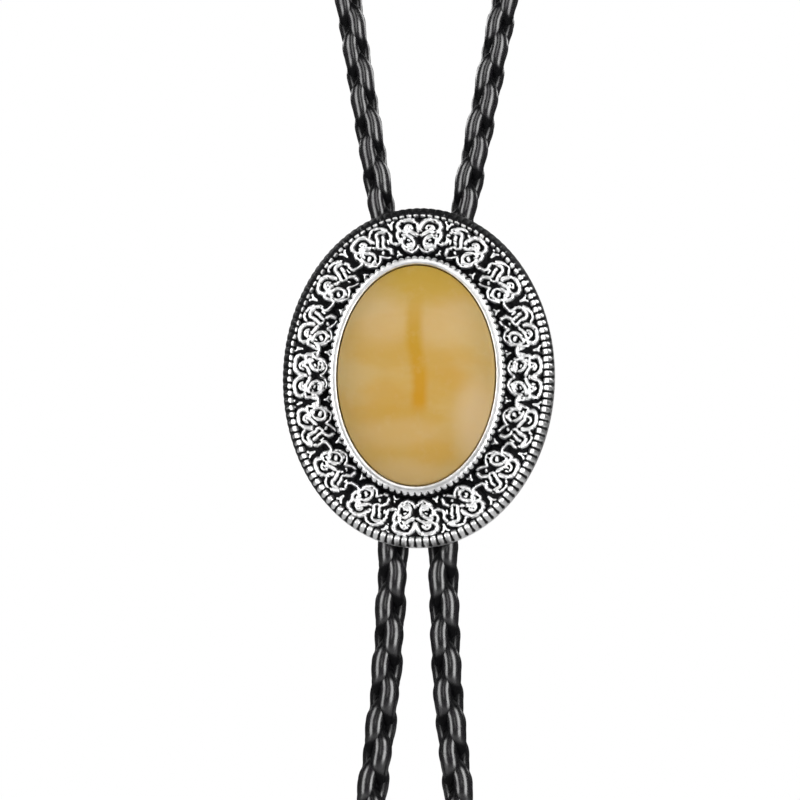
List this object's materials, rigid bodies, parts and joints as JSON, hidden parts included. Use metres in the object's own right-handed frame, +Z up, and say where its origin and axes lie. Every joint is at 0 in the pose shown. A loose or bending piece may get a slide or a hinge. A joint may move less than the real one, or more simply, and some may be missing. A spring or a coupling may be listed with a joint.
{
  "type": "bolo tie",
  "caption": "Bolo tie: an oval antique-silver slide with a border of cast roses and a domed honey-coloured stone, on a neck loop of round braided black leather with hanging tails.",
  "frame": {"origin": "the inner side of the neck cord at the nape of the neck, in the middle of the loop's back", "axes": "+Z up as worn, -Y forwards out of the slide's face, +X towards the slide's right as seen from the front"},
  "size_m": [0.124, 0.1382, 0.2986],
  "materials": {
    "antique_silver": "cast white metal, bright ridges and blackened recesses",
    "honey_stone": "polished cloudy honey-yellow stone",
    "clip_metal": "brushed plated steel",
    "braided_leather": "glossy black leather, round four-strand braid",
    "tip_metal": "polished silver-coloured metal"
  },
  "bodies": {
    "root": {"slide_plate": "antique_silver", "stone_cabochon": "honey_stone", "back_clip": "clip_metal", "neck_cord": "braided_leather", "tail_left": "braided_leather", "tail_right": "braided_leather", "tip_left": "tip_metal", "tip_right": "tip_metal"}
  },
  "joints": []
}
